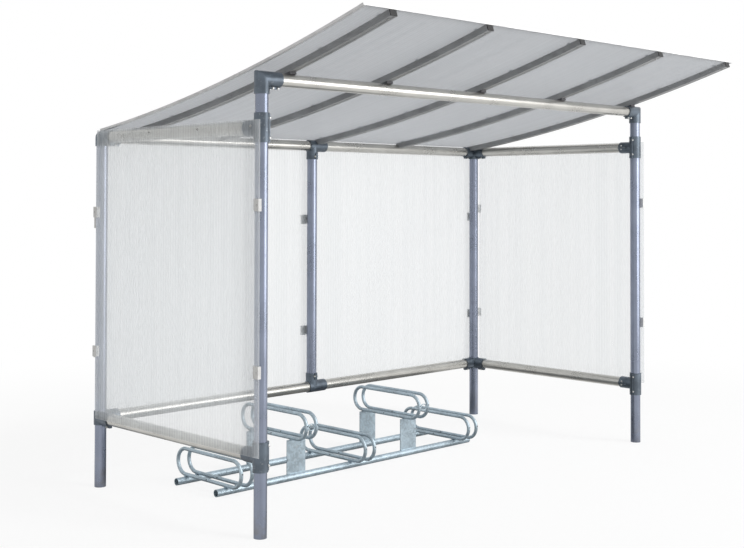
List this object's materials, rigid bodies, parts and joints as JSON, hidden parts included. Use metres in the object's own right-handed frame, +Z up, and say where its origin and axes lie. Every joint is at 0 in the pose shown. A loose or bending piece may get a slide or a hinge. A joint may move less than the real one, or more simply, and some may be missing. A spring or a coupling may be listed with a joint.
{
  "type": "bike shelter",
  "caption": "Free-standing tube-frame bike shelter with translucent side, back and curved roof sheets and a floor rack of wheel loops.",
  "frame": {"origin": "on the ground in the middle of the shelter's outline", "axes": "+X along the open front to the right, +Y to the back, +Z up"},
  "size_m": [3.0982, 2.039, 2.3197],
  "materials": {
    "post_tube": "satin, faintly blue anodised tube",
    "rail_tube": "satin anodised tube",
    "fitting": "cast, painted dark grey",
    "rafter": "mill-finish extrusion",
    "saddle": "moulded dark grey",
    "end_cap": "moulded black",
    "roof_sheet": "twin-wall translucent sheet",
    "edge_strip": "bright strip",
    "wall_sheet": "multiwall translucent sheet",
    "clip": "moulded white",
    "galvanised": "hot-dip galvanised"
  },
  "bodies": {
    "root": {"back_bottom_corners": "fitting", "back_bottom_rail": "rail_tube", "back_middle_tees": "fitting", "back_panel_left": "wall_sheet", "back_panel_right": "wall_sheet", "back_top_corners": "fitting", "back_top_rail": "rail_tube", "front_beam": "rail_tube", "front_elbows": "fitting", "front_lower_tees": "fitting", "front_upper_tees": "fitting", "left_bottom_rail": "rail_tube", "left_panel": "wall_sheet", "left_top_rail": "rail_tube", "panel_clips": "clip", "post_back_left": "post_tube", "post_back_middle": "post_tube", "post_back_right": "post_tube", "post_front_left": "post_tube", "post_front_right": "post_tube", "rack_ground_tubes": "galvanised", "rack_loops_1": "galvanised", "rack_loops_2": "galvanised", "rack_loops_3": "galvanised", "rack_loops_4": "galvanised", "rack_loops_5": "galvanised", "rack_uprights": "galvanised", "rafter_end_caps": "end_cap", "rafter_saddles": "saddle", "right_bottom_rail": "rail_tube", "right_panel": "wall_sheet", "right_top_rail": "rail_tube", "roof_edge_strip": "edge_strip", "roof_rafter_1": "rafter", "roof_rafter_2": "rafter", "roof_rafter_3": "rafter", "roof_rafter_4": "rafter", "roof_rafter_5": "rafter", "roof_sheets": "roof_sheet"}
  },
  "joints": []
}
